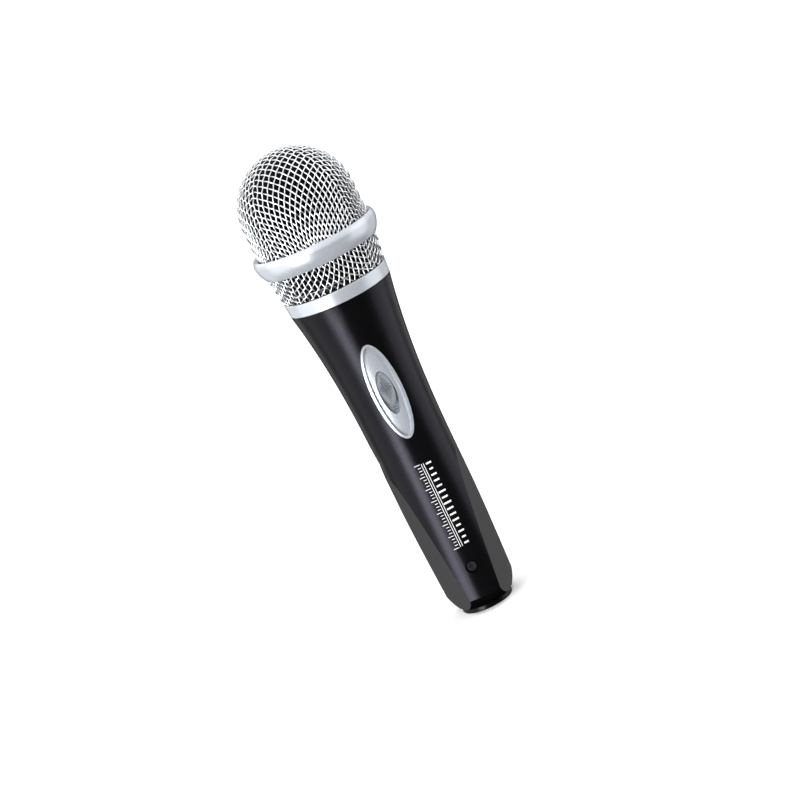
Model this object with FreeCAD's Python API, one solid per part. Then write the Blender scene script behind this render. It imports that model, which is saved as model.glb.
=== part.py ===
"""Handheld dynamic microphone, millimetres, +Z from the connector lip to the top of the grille.

The origin is the centre of the connector lip, and the slide switch faces -Y.
"""
import FreeCAD, Part
import math
import os

V = FreeCAD.Vector
UP = V(0, 0, 1)

# Clearances
PRESS_GAP = 0.02  # pieces pushed or moulded into one another
SLIP_GAP = 0.05  # pieces slid together by hand
RUN_GAP = 0.15  # a piece that moves past another
UNDER_GAP = 0.3  # flat faces that pass each other without touching

# Handle, a hollow casting
GRIP_R = 15.0
NECK_R = 20.45
NECK_Z = 132.5  # shoulder that the grille stops on
FLARE_Z = 60.0  # where the straight grip starts to widen
FLARE_POWER = 2.54  # how late the widening comes
HANDLE_WALL = 2.2
CAVITY_STEP = 0.4  # cavity at least this much wider than the socket above the insert
LIP_WALL = 0.75  # round the connector bore
LIP_HEIGHT = 1.9
LIP_STEP = 0.55  # ledge from the lip to the tail cone
TAIL_CONE_TOP = 5.8
TAIL_CONE_BULGE = 0.2
TAIL_EDGE = 0.4
FLAT_AZIMUTH = 69.0  # of each side flat's normal, from the front
FLAT_TOP_Z = 61.0
FLAT_TAIL_Z = 4.5
FLAT_TAIL_WALL = 1.1  # metal left between a flat and the connector bore

# Threaded neck and its gasket
COLLAR_WALL = 1.7  # from the thread to the collar's outside
BOSS_WALL = 1.65  # from the thread's root to the rubber mount
THREAD_PITCH = 1.25
THREAD_DEPTH = 0.55
THREAD_CREST = 0.25  # width of the flat on a crest
BOSS_HEIGHT = 6.0
RELIEF_HEIGHT = 1.1  # unthreaded stretch above the shoulder
GASKET_HEIGHT = 0.7
GASKET_WIDTH = 0.9

# Plug socket in the tail, the common three-pole round pattern
SOCKET_R = 9.5
SOCKET_DEPTH = 14.0
INSERT_HEIGHT = 10.5
PIN_R = 1.2
PIN_ROOT_R = 1.7  # thicker root held in the insert
PIN_CIRCLE_R = 3.65
PIN_RECESS = 1.6
CUP_HEIGHT = 5.0
CUP_R = 1.45
CUP_BORE = 0.9
LATCH_Z = 6.2
LATCH_WIDTH = 4.4
LATCH_HEIGHT = 2.6
LATCH_DEPTH = 0.9
TAB_THICK = 0.4
SCREW_Z = 19.0
SCREW_HEAD_R = 1.9
SCREW_HEAD_HEIGHT = 1.1
SCREW_R = 1.25
SCREW_SINK = 1.3  # depth of the head's top below the grip
SCREW_POCKET_R = 2.5
CROSS_WIDTH = 0.55

# Oval switch plate and slider
PLATE_BELOW_NECK = 38.1
PLATE_HALF_WIDTH = 6.1
PLATE_HALF_LENGTH = 19.8
PLATE_RIM = 1.05
PLATE_PROUD = 0.55
PLATE_DISH = 0.7  # depth of the dished floor under the grip surface
PLATE_SEAT = 1.2  # depth of the plate's seat under the grip radius
WINDOW_HALF_WIDTH = 3.1
WINDOW_HALF_LENGTH = 8.95
WINDOW_DROP = 0.7  # window centre below the plate's centre
PAD_GAP = 0.35  # round the pad at either end of its travel
PAD_HEIGHT = 1.35
SWITCH_TRAVEL = 3.6
SHOE_LAP = 0.65  # how far the shoe stays under the window's end
SHOE_THICK = 0.7
GRIP_DOT_R = 0.16
GRIP_DOT_STEP = 0.72
GRIP_DOTS = 6

# Slide switch under the plate
PLATE_SIDE_LEDGE = 1.8  # seat left beside the pocket
PLATE_END_LEDGE = 2.3
POCKET_GAP = 0.2  # round the bracket
SHOE_GAP = 0.4  # beside the shoe
BRACKET_THICK = 0.8
BRACKET_SCREW_INSET = 1.9  # from the pocket's end
BRACKET_HEAD_R = 1.4
BRACKET_HEAD_HEIGHT = 0.8
BRACKET_SCREW_R = 0.9
BRACKET_SCREW_LENGTH = 3.0
LUG_HALF_WIDTH = 3.0
LUG_DEPTH = 3.5
STEM_HALF_WIDTH = 1.2
STEM_HALF_LENGTH = 2.0
STEM_LENGTH = 2.8
CAN_HALF_WIDTH = 3.6
CAN_HALF_LENGTH = 7.2
CAN_DEPTH = 4.8
CAN_WALL = 0.4
BASE_THICK = 1.2
BASE_RIM = 0.3
WIPER_HALF_WIDTH = 2.2
WIPER_HALF_LENGTH = 3.2
WIPER_THICK = 0.5
TERMINAL_STEP = 4.0
TERMINAL_HALF_WIDTH = 0.8
TERMINAL_THICK = 0.5
TERMINAL_TAIL = 2.8

# Grille
COLLAR_HEIGHT = 5.4
COLLAR_FLARE = 0.45
COLLAR_EDGE = 0.35
COLLAR_SPIGOT = 2.6
SPIGOT_WALL = 0.9
SEAM_GAP = 0.1
LOWER_MESH_HEIGHT = 11.1
MESH_STEP = 0.3  # lower mesh inside the dome's radius, at the band
MESH_DEPTH = 1.4  # woven wire over and under, two wire thicknesses
MESH_SKIN = 0.35  # solid thickness with the weight of the woven wire
BAND_HEIGHT = 9.7
BAND_PROUD = 2.15  # band outside the dome's radius
BAND_LEVEL = 6.0  # height of the widest line above the band's lower edge
BAND_INNER_WALL = 0.35
RIM_DROP = 1.3  # outer rim below the line that the dome is measured from
RIM_IN = 0.8  # rim inside the widest line
RIM_BEVEL = 0.6  # depth of the slope from the rim in to the mesh
MESH_BITE = 2.3  # depth of wire held in the band
UPPER_BITE = 3.1
DOME_R = 22.75
DOME_CENTRE = 11.05  # height above the band's top
FOAM_THICK = 2.5
FOAM_GAP = 0.25

# Capsule and its rubber mount
CHAMBER_HEIGHT = 30.0
CHAMBER_WALL = 1.2
CAPSULE_ABOVE_NECK = 17.5
CAPSULE_R = 13.6
HOUSING_HEIGHT = 12.6
HOUSING_FLOOR = 1.2
YOKE_R = 9.5
YOKE_HEIGHT = 9.3
YOKE_FLOOR = 1.8
YOKE_WALL = 1.6
MAGNET_R = 6.4
MAGNET_HEIGHT = 5.0
POLE_R = 6.9
POLE_HEIGHT = 2.5
COIL_GAP = 0.3
COIL_THICK = 0.35
COIL_HEIGHT = 3.6
COIL_TRAVEL = 0.2
DOME_HEIGHT = 2.0
FILM = 0.12
SURROUND_ARCH = 0.5
CLAMP_HEIGHT = 1.4
CLAMP_WIDTH = 1.4
CAP_HEIGHT = 3.8
CAP_PLATE = 1.0
CAP_HOLE_R = 0.85
CAP_RING_STEP = 3.4
VENT_R = 0.9
VENTS = 8
FELT_THICK = 0.8
SCREEN_THICK = 0.3
MOUNT_FLANGE = 3.0
MOUNT_FLANGE_WIDTH = 3.75
MOUNT_LEDGE = 0.8  # seat under the flange
MOUNT_SLEEVE = 1.6
MOUNT_TOP_ABOVE_NECK = 13.5
MOUNT_SKIRT = 2.0
BOARD_R = 8.0
BOARD_THICK = 1.2
TAG_R = 0.6
TAG_OFFSET = 3.5
TAG_LENGTH = 2.4

# Leads inside the handle
LEAD_R = 0.55
LEAD_BACK_Y = 4.2  # how far behind the axis the leads lie

# Radii, heights and depths worked out from the sizes above
LIP_R = SOCKET_R + LIP_WALL
THREAD_R = NECK_R - COLLAR_WALL - RUN_GAP
MOUNT_R = THREAD_R - THREAD_DEPTH - BOSS_WALL
CHAMBER_R = MOUNT_R - MOUNT_FLANGE_WIDTH - MOUNT_SLEEVE
POCKET_HALF_WIDTH = PLATE_HALF_WIDTH - PLATE_SIDE_LEDGE
POCKET_HALF_LENGTH = PLATE_HALF_LENGTH - PLATE_END_LEDGE
BRACKET_SCREW_OFFSET = POCKET_HALF_LENGTH - BRACKET_SCREW_INSET
PAD_HALF_WIDTH = WINDOW_HALF_WIDTH - PAD_GAP
PAD_HALF_LENGTH = WINDOW_HALF_LENGTH - SWITCH_TRAVEL / 2 - PAD_GAP
SHOE_HALF_WIDTH = POCKET_HALF_WIDTH - SHOE_GAP
SHOE_HALF_LENGTH = WINDOW_HALF_LENGTH + SWITCH_TRAVEL / 2 + SHOE_LAP
COLLAR_TOP_R = NECK_R + COLLAR_FLARE
LOWER_MESH_TOP_R = DOME_R - MESH_STEP
BAND_R = DOME_R + BAND_PROUD
PLATE_Z = NECK_Z - PLATE_BELOW_NECK
WINDOW_Z = PLATE_Z - WINDOW_DROP
PAD_Z = WINDOW_Z + SWITCH_TRAVEL / 2
SEAT_Y = -(GRIP_R - PLATE_SEAT)
SHOE_Y = SEAT_Y + UNDER_GAP
SHOE_BACK_Y = SHOE_Y + SHOE_THICK
BRACKET_Y = SHOE_BACK_Y + UNDER_GAP
BRACKET_BACK_Y = BRACKET_Y + BRACKET_THICK
CAN_BACK_Y = BRACKET_BACK_Y + CAN_DEPTH
STEM_END_Y = SHOE_BACK_Y + STEM_LENGTH
TERMINAL_END_Y = CAN_BACK_Y + BASE_THICK + TERMINAL_TAIL
INSERT_TOP = SOCKET_DEPTH + INSERT_HEIGHT
CUP_TOP = INSERT_TOP + CUP_HEIGHT
BOSS_TOP = NECK_Z + BOSS_HEIGHT
COLLAR_Z = NECK_Z + SEAM_GAP
COLLAR_TOP = NECK_Z + COLLAR_HEIGHT
BAND_Z = COLLAR_TOP + LOWER_MESH_HEIGHT
BAND_TOP = BAND_Z + BAND_HEIGHT
DOME_Z = BAND_TOP + DOME_CENTRE
BAND_BORE = LOWER_MESH_TOP_R - MESH_DEPTH - BAND_INNER_WALL
CAPSULE_Z = NECK_Z + CAPSULE_ABOVE_NECK
HOUSING_TOP = CAPSULE_Z + HOUSING_HEIGHT
YOKE_Z = CAPSULE_Z + HOUSING_FLOOR
YOKE_TOP = YOKE_Z + YOKE_HEIGHT
POLE_Z = YOKE_Z + YOKE_FLOOR + MAGNET_HEIGHT
COIL_R = POLE_R + COIL_GAP
COIL_OUTER_R = COIL_R + COIL_THICK
CAP_Z = HOUSING_TOP + CLAMP_HEIGHT
CHAMBER_Z = CAPSULE_Z - CHAMBER_HEIGHT
BOARD_Z = CHAMBER_Z - BOARD_THICK
TAG_END_Z = BOARD_Z - TAG_LENGTH
PIN_PLACES = {
    "contact_pin_1": V(-PIN_CIRCLE_R, 0, 0),
    "contact_pin_2": V(PIN_CIRCLE_R, 0, 0),
    "contact_pin_3": V(0, PIN_CIRCLE_R, 0),
}


# Shared shapes

def edges_along(start, steps):
    """Edges in the XZ half plane: ("line", r, z), ("arc", mid r, mid z, r, z) or ("curve", points)."""
    edges = []
    here = V(start[0], 0, start[1])
    for step in steps:
        if step[0] == "line":
            there = V(step[1], 0, step[2])
            edges.append(Part.makeLine(here, there))
        elif step[0] == "arc":
            there = V(step[3], 0, step[4])
            edges.append(Part.Arc(here, V(step[1], 0, step[2]), there).toShape())
        else:
            curve = Part.BSplineCurve()
            curve.interpolate([here] + [V(r, 0, z) for r, z in step[1]])
            there = V(step[1][-1][0], 0, step[1][-1][1])
            edges.append(curve.toShape())
        here = there
    if here.distanceToPoint(V(start[0], 0, start[1])) > 1e-6:
        edges.append(Part.makeLine(here, V(start[0], 0, start[1])))
    return edges


def turned(start, *steps):
    """Solid of revolution round the Z axis from a closed outline of radii and heights."""
    face = Part.Face(Part.Wire(edges_along(start, steps)))
    return face.revolve(V(0, 0, 0), UP, 360)


def ring(inner, outer, low, high):
    """Plain ring, or a disc where the inner radius is nought."""
    solid = Part.makeCylinder(outer, high - low, V(0, 0, low))
    if inner > 0:
        solid = solid.cut(Part.makeCylinder(inner, high - low, V(0, 0, low)))
    return solid


def block(x_half, y_low, y_high, z_low, z_high):
    """Box centred on X."""
    return Part.makeBox(2 * x_half, y_high - y_low, z_high - z_low, V(-x_half, y_low, z_low))


def oval(half_width, half_length, z_mid, y_low, y_high):
    """Elliptical bar along Y."""
    tip = V(0, y_low, z_mid + half_length)
    side = V(half_width, y_low, z_mid)
    edge = Part.Ellipse(tip, side, V(0, y_low, z_mid)).toShape()
    return Part.Face(Part.Wire([edge])).extrude(V(0, y_high - y_low, 0))


def stadium(half_width, half_length, z_mid, y_low, y_high):
    """Bar along Y with straight sides and round ends."""
    straight = half_length - half_width
    solid = block(half_width, y_low, y_high, z_mid - straight, z_mid + straight)
    for z in (z_mid - straight, z_mid + straight):
        solid = solid.fuse(rod_y(half_width, V(0, y_low, z), y_high - y_low))
    return solid.removeSplitter()


def rod_y(radius, start, length):
    """Round bar along +Y."""
    return Part.makeCylinder(radius, length, start, V(0, 1, 0))


def grip_radius(z):
    """Radius of the handle's round surface at a height."""
    if z <= FLARE_Z:
        return GRIP_R
    share = (z - FLARE_Z) / (NECK_Z - FLARE_Z)
    return GRIP_R + (NECK_R - GRIP_R) * share ** FLARE_POWER


def flare_points(offset, low, high, count):
    """Points up the handle's surface, moved outwards by an offset, after the one at the low end."""
    heights = [low + (high - low) * n / count for n in range(1, count + 1)]
    return [(grip_radius(z) + offset, z) for z in heights]


def flat_distance(z):
    """Distance of a side flat from the axis at a height."""
    tail = SOCKET_R + FLAT_TAIL_WALL
    return tail + (GRIP_R - tail) * (z - FLAT_TAIL_Z) / (FLAT_TOP_Z - FLAT_TAIL_Z)


def thread_half_width(radius):
    """Half the width of the neck's thread ridge at a radius."""
    slope = (THREAD_PITCH / 2 - THREAD_CREST) / THREAD_DEPTH / 2
    return THREAD_CREST / 2 + slope * (THREAD_R - radius)


def helical_groove(outline, low, turns):
    """Cutter swept up the neck's helix from an outline of (radius, height) corners."""
    helix = Part.makeLongHelix(THREAD_PITCH, THREAD_PITCH * turns, THREAD_R)
    wire = Part.makePolygon([V(r, 0, z) for r, z in outline + outline[:1]])
    groove = Part.Wire(helix.Edges).makePipeShell([wire], True, True)
    return groove.translate(V(0, 0, low))


# Handle

def side_flat(sign):
    """Everything outside one side flat, from the tail to where the flat runs out."""
    reach = 2 * GRIP_R
    low = V(flat_distance(0), 0, 0)
    high = V(flat_distance(FLAT_TOP_Z + reach / 4), 0, FLAT_TOP_Z + reach / 4)
    corners = [low, V(reach, 0, low.z), V(reach, 0, high.z), high, low]
    wedge = Part.Face(Part.makePolygon(corners)).extrude(V(0, 2 * reach, 0))
    wedge.translate(V(0, -reach, 0))
    wedge.rotate(V(0, 0, 0), UP, -90 + sign * FLAT_AZIMUTH)
    return wedge


def handle_blank():
    """Turned shape of the casting: lip, tail cone, grip, flare, neck and the bore through them."""
    cavity = GRIP_R - HANDLE_WALL
    neck_bore = MOUNT_R - MOUNT_LEDGE
    thread_root = THREAD_R - THREAD_DEPTH
    cone_r = LIP_R + LIP_STEP
    shoulder = GRIP_R - TAIL_EDGE
    bulge = TAIL_CONE_BULGE
    return turned(
        (SOCKET_R, 0),
        ("line", LIP_R - TAIL_EDGE, 0),
        ("arc", LIP_R - TAIL_EDGE * 0.3, TAIL_EDGE * 0.3, LIP_R, TAIL_EDGE),
        ("line", LIP_R, LIP_HEIGHT),
        ("line", cone_r, LIP_HEIGHT),
        ("arc", (cone_r + shoulder) / 2 + bulge, (LIP_HEIGHT + TAIL_CONE_TOP) / 2 - bulge,
         shoulder, TAIL_CONE_TOP),
        ("line", GRIP_R, TAIL_CONE_TOP + 2 * TAIL_EDGE),
        ("line", GRIP_R, FLARE_Z),
        ("curve", flare_points(0, FLARE_Z, NECK_Z, 10)),
        ("line", thread_root - SLIP_GAP, NECK_Z),
        ("line", thread_root - SLIP_GAP, NECK_Z + RELIEF_HEIGHT),
        ("line", THREAD_R, NECK_Z + RELIEF_HEIGHT + THREAD_DEPTH),
        ("line", THREAD_R, BOSS_TOP - THREAD_DEPTH),
        ("line", thread_root, BOSS_TOP),
        ("line", MOUNT_R, BOSS_TOP),
        ("line", MOUNT_R, BOSS_TOP - MOUNT_FLANGE),
        ("line", neck_bore, BOSS_TOP - MOUNT_FLANGE),
        ("line", neck_bore, CHAMBER_Z),
        ("line", cavity, PLATE_Z + PLATE_HALF_LENGTH - 2 * MOUNT_FLANGE),
        ("line", cavity, FLAT_TOP_Z),
        ("line", max(SOCKET_R + CAVITY_STEP, flat_distance(INSERT_TOP) - HANDLE_WALL), INSERT_TOP),
        ("line", SOCKET_R, INSERT_TOP),
    )


def neck_thread_cutter():
    """Groove between the neck's thread ridges, open into the relief and past the top."""
    root = THREAD_R - THREAD_DEPTH
    mouth = THREAD_R + SLIP_GAP
    half_root = THREAD_PITCH / 2 - thread_half_width(root)
    half_mouth = THREAD_PITCH / 2 - thread_half_width(mouth)
    outline = [(root, -half_root), (mouth, -half_mouth), (mouth, half_mouth), (root, half_root)]
    turns = math.ceil(BOSS_HEIGHT / THREAD_PITCH)
    return helical_groove(outline, NECK_Z + RELIEF_HEIGHT / 2, turns)


def bracket_lugs():
    """Two lugs inside the grip that the switch bracket's screws bite into."""
    reach = BRACKET_SCREW_OFFSET
    tip = POCKET_HALF_LENGTH + LUG_HALF_WIDTH
    inner = reach - LUG_HALF_WIDTH
    lugs = block(LUG_HALF_WIDTH, SEAT_Y, BRACKET_BACK_Y + LUG_DEPTH, PLATE_Z - tip, PLATE_Z - inner)
    return lugs.fuse(
        block(LUG_HALF_WIDTH, SEAT_Y, BRACKET_BACK_Y + LUG_DEPTH, PLATE_Z + inner, PLATE_Z + tip))


def switch_cuts():
    """Seat for the oval plate, pocket for the slider and bracket, and the bracket's screw holes."""
    outside = -2 * NECK_R
    gap = SLIP_GAP
    cuts = [
        oval(PLATE_HALF_WIDTH + gap, PLATE_HALF_LENGTH + gap, PLATE_Z, outside, SEAT_Y),
        stadium(POCKET_HALF_WIDTH, POCKET_HALF_LENGTH, PLATE_Z, outside, BRACKET_BACK_Y),
    ]
    for z in (PLATE_Z - BRACKET_SCREW_OFFSET, PLATE_Z + BRACKET_SCREW_OFFSET):
        start = V(0, BRACKET_BACK_Y - gap, z)
        cuts.append(rod_y(BRACKET_SCREW_R + PRESS_GAP, start, BRACKET_SCREW_LENGTH + 2 * gap))
    return cuts


def tail_cuts():
    """Pocket and hole for the retaining screw, and the recess that the plug's latch drops into."""
    pocket_floor = -(GRIP_R - SCREW_SINK - SCREW_HEAD_HEIGHT)
    latch = block(LATCH_WIDTH / 2, 0, SOCKET_R + LATCH_DEPTH, LATCH_Z, LATCH_Z + LATCH_HEIGHT)
    return [
        rod_y(SCREW_POCKET_R, V(0, -2 * GRIP_R, SCREW_Z), 2 * GRIP_R + pocket_floor),
        rod_y(SCREW_R + PRESS_GAP, V(0, pocket_floor - SLIP_GAP, SCREW_Z), GRIP_R / 2),
        latch,
    ]


def handle():
    body = handle_blank().fuse(bracket_lugs())
    cuts = [side_flat(-1), side_flat(1)] + switch_cuts() + tail_cuts() + [neck_thread_cutter()]
    for cutter in cuts:
        body = body.cut(cutter)
    return body


# Plug socket

def retaining_screw():
    top = -(GRIP_R - SCREW_SINK)
    under_head = top + SCREW_HEAD_HEIGHT
    tip = -(SOCKET_R - SLIP_GAP) + 2 * SLIP_GAP + SCREW_R / 2
    screw = rod_y(SCREW_HEAD_R, V(0, top, SCREW_Z), SCREW_HEAD_HEIGHT)
    screw = screw.fuse(rod_y(SCREW_R, V(0, under_head, SCREW_Z), tip - under_head))
    bar = block(CROSS_WIDTH / 2, top, top + SCREW_HEAD_HEIGHT / 2,
                SCREW_Z - SCREW_HEAD_R * 0.6, SCREW_Z + SCREW_HEAD_R * 0.6)
    across = bar.copy()
    across.rotate(V(0, 0, SCREW_Z), V(0, 1, 0), 90)
    return screw.cut(bar).cut(across)


def connector_insert():
    body = ring(0, SOCKET_R - SLIP_GAP, SOCKET_DEPTH, INSERT_TOP)
    for place in PIN_PLACES.values():
        body = body.cut(Part.makeCylinder(PIN_ROOT_R + PRESS_GAP, INSERT_HEIGHT, place + UP * SOCKET_DEPTH))
    notch_start = V(0, -SOCKET_R, SCREW_Z)
    return body.cut(rod_y(SCREW_R + RUN_GAP, notch_start, SCREW_R + RUN_GAP))


def contact_pin(place):
    """Round-nosed pin with a solder cup at its back end."""
    nose = PIN_R / 2
    pin = turned(
        (0, PIN_RECESS),
        ("line", PIN_R - nose, PIN_RECESS),
        ("arc", PIN_R - nose * 0.3, PIN_RECESS + nose * 0.3, PIN_R, PIN_RECESS + nose),
        ("line", PIN_R, SOCKET_DEPTH),
        ("line", PIN_ROOT_R, SOCKET_DEPTH),
        ("line", PIN_ROOT_R, INSERT_TOP + SLIP_GAP),
        ("line", CUP_R, INSERT_TOP + SLIP_GAP),
        ("line", CUP_R, CUP_TOP),
        ("line", CUP_BORE, CUP_TOP),
        ("line", CUP_BORE, CUP_TOP - CUP_HEIGHT / 2),
        ("line", 0, CUP_TOP - CUP_HEIGHT / 2),
    )
    return pin.translate(place)


def ground_tab():
    """Strip from the first pin's cup to a leaf that presses on the socket's wall."""
    place = PIN_PLACES["contact_pin_1"]
    wall = -(SOCKET_R - SLIP_GAP)
    low = INSERT_TOP + SLIP_GAP
    half = PIN_R
    strip = Part.makeBox(place.x - CUP_R - PRESS_GAP - wall, 2 * half, TAB_THICK, V(wall, -half, low))
    leaf = Part.makeBox(TAB_THICK, 2 * half, CUP_HEIGHT * 0.7, V(wall + 2 * SLIP_GAP, -half, low))
    inside = ring(0, SOCKET_R - SLIP_GAP, low, CUP_TOP)
    return strip.fuse(leaf).common(inside).removeSplitter()


# Switch

def switch_plate():
    """Oval trim plate with a raised rim, a dished floor and the slider's window."""
    low = PLATE_Z - 2 * PLATE_HALF_LENGTH
    high = NECK_Z

    def skin(offset):
        return turned(
            (0, low), ("line", grip_radius(low) + offset, low),
            ("curve", flare_points(offset, low, high, 8)), ("line", 0, high))

    outside = -2 * NECK_R
    plate = oval(PLATE_HALF_WIDTH, PLATE_HALF_LENGTH, PLATE_Z, outside, SEAT_Y).common(skin(PLATE_PROUD))
    dish = oval(PLATE_HALF_WIDTH - PLATE_RIM, PLATE_HALF_LENGTH - PLATE_RIM, PLATE_Z, outside, SEAT_Y)
    plate = plate.cut(dish.cut(skin(-PLATE_DISH)))
    return plate.cut(oval(WINDOW_HALF_WIDTH, WINDOW_HALF_LENGTH, WINDOW_Z, outside, 0))


def switch_slider():
    """Thumb pad with a diamond of dimples, on the shoe that runs under the plate."""
    pad_top = SHOE_Y - PAD_HEIGHT
    slider = oval(PAD_HALF_WIDTH, PAD_HALF_LENGTH, PAD_Z, pad_top, SHOE_Y)
    slider = slider.fuse(stadium(SHOE_HALF_WIDTH, SHOE_HALF_LENGTH, PAD_Z, SHOE_Y, SHOE_BACK_Y))
    middle = (GRIP_DOTS - 1) / 2
    for row in range(GRIP_DOTS):
        for column in range(GRIP_DOTS):
            across = (column - row) * GRIP_DOT_STEP / 2
            along = (column + row - 2 * middle) * GRIP_DOT_STEP / 2
            start = V(across, pad_top - SLIP_GAP, PAD_Z + along)
            slider = slider.cut(rod_y(GRIP_DOT_R, start, GRIP_DOT_R + SLIP_GAP))
    return slider


def switch_actuator():
    """Stem that carries the slider's motion into the switch."""
    return block(STEM_HALF_WIDTH, SHOE_BACK_Y, STEM_END_Y, PAD_Z - STEM_HALF_LENGTH, PAD_Z + STEM_HALF_LENGTH)


def switch_wiper():
    """Contact bridge on the end of the stem."""
    end = STEM_END_Y + WIPER_THICK
    return block(WIPER_HALF_WIDTH, STEM_END_Y, end, PAD_Z - WIPER_HALF_LENGTH, PAD_Z + WIPER_HALF_LENGTH)


def stem_slot(y_low, y_high):
    """Space that the stem sweeps."""
    reach = STEM_HALF_LENGTH + SWITCH_TRAVEL / 2 + UNDER_GAP
    return block(STEM_HALF_WIDTH + UNDER_GAP, y_low, y_high, WINDOW_Z - reach, WINDOW_Z + reach)


def switch_bracket():
    plate = stadium(POCKET_HALF_WIDTH - POCKET_GAP, POCKET_HALF_LENGTH - POCKET_GAP,
                    PLATE_Z, BRACKET_Y, BRACKET_BACK_Y)
    plate = plate.cut(stem_slot(BRACKET_Y, BRACKET_BACK_Y))
    for z in (PLATE_Z - BRACKET_SCREW_OFFSET, PLATE_Z + BRACKET_SCREW_OFFSET):
        plate = plate.cut(rod_y(BRACKET_SCREW_R + SLIP_GAP, V(0, BRACKET_Y, z), BRACKET_THICK))
    return plate


def bracket_screws():
    """Two screws under the oval plate, as one group."""
    screws = []
    for z in (PLATE_Z - BRACKET_SCREW_OFFSET, PLATE_Z + BRACKET_SCREW_OFFSET):
        head = rod_y(BRACKET_HEAD_R, V(0, BRACKET_Y - BRACKET_HEAD_HEIGHT, z), BRACKET_HEAD_HEIGHT)
        length = BRACKET_THICK + BRACKET_SCREW_LENGTH - SLIP_GAP
        screw = head.fuse(rod_y(BRACKET_SCREW_R, V(0, BRACKET_Y, z), length))
        slot = block(BRACKET_HEAD_R, BRACKET_Y - BRACKET_HEAD_HEIGHT,
                     BRACKET_Y - BRACKET_HEAD_HEIGHT / 2, z - CROSS_WIDTH / 2, z + CROSS_WIDTH / 2)
        screws.append(screw.cut(slot))
    return Part.makeCompound(screws)


def switch_can():
    """Pressed metal cover of the slide switch, open at the back."""
    low = WINDOW_Z - CAN_HALF_LENGTH
    high = WINDOW_Z + CAN_HALF_LENGTH
    can = block(CAN_HALF_WIDTH, BRACKET_BACK_Y, CAN_BACK_Y, low, high)
    hollow = block(CAN_HALF_WIDTH - CAN_WALL, BRACKET_BACK_Y + CAN_WALL, CAN_BACK_Y,
                   low + CAN_WALL, high - CAN_WALL)
    return can.cut(hollow).cut(stem_slot(BRACKET_BACK_Y, BRACKET_BACK_Y + CAN_WALL))


def terminal_heights():
    return [WINDOW_Z + n * TERMINAL_STEP for n in (-1, 0, 1)]


def terminal_blade(z, gap):
    """Blade of one switch terminal, or with a gap its slot in the base."""
    front = STEM_END_Y + WIPER_THICK + UNDER_GAP
    end = TERMINAL_END_Y
    width = TERMINAL_HALF_WIDTH + gap
    return block(width, front, end, z - TERMINAL_THICK / 2 - gap, z + TERMINAL_THICK / 2 + gap)


def switch_base():
    """Insulating board that closes the can and holds the terminals."""
    half_length = CAN_HALF_LENGTH + BASE_RIM
    base = block(CAN_HALF_WIDTH + BASE_RIM, CAN_BACK_Y, CAN_BACK_Y + BASE_THICK,
                 WINDOW_Z - half_length, WINDOW_Z + half_length)
    for z in terminal_heights():
        base = base.cut(terminal_blade(z, PRESS_GAP))
    return base


def switch_terminals():
    return Part.makeCompound([terminal_blade(z, 0) for z in terminal_heights()])


# Grille

def neck_gasket():
    inner = THREAD_R + RUN_GAP
    return ring(inner, inner + GASKET_WIDTH, NECK_Z, NECK_Z + GASKET_HEIGHT)


def grille_collar():
    """Ring that screws on the neck, with a spigot inside the lower mesh."""
    bore = THREAD_R + RUN_GAP
    spigot_r = bore + SPIGOT_WALL
    gasket_room = bore + GASKET_WIDTH + RUN_GAP
    edge = COLLAR_EDGE
    return turned(
        (gasket_room, COLLAR_Z),
        ("line", NECK_R - edge, COLLAR_Z),
        ("arc", NECK_R - edge * 0.3, COLLAR_Z + edge * 0.3, NECK_R, COLLAR_Z + edge),
        ("line", COLLAR_TOP_R, COLLAR_TOP - edge),
        ("arc", COLLAR_TOP_R - edge * 0.3, COLLAR_TOP - edge * 0.3, COLLAR_TOP_R - edge, COLLAR_TOP),
        ("line", spigot_r, COLLAR_TOP),
        ("line", spigot_r, COLLAR_TOP + COLLAR_SPIGOT),
        ("line", bore, COLLAR_TOP + COLLAR_SPIGOT),
        ("line", bore, NECK_Z + GASKET_HEIGHT + RUN_GAP),
        ("line", gasket_room, NECK_Z + GASKET_HEIGHT + RUN_GAP),
    )


def lower_mesh_radius(z):
    """Outer radius of the lower mesh at a height."""
    foot = COLLAR_TOP_R - PRESS_GAP
    return foot + (LOWER_MESH_TOP_R - foot) * (z - COLLAR_TOP) / LOWER_MESH_HEIGHT


def lower_mesh():
    """Woven-wire cone, as a skin with the wire's outer shape and weight."""
    low = COLLAR_TOP + PRESS_GAP
    high = BAND_Z + MESH_BITE - SLIP_GAP
    return turned(
        (lower_mesh_radius(low), low),
        ("line", LOWER_MESH_TOP_R, BAND_Z),
        ("line", LOWER_MESH_TOP_R, high),
        ("line", LOWER_MESH_TOP_R - MESH_SKIN, high),
        ("line", LOWER_MESH_TOP_R - MESH_SKIN, BAND_Z),
        ("line", lower_mesh_radius(low) - MESH_SKIN, low),
    )


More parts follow.
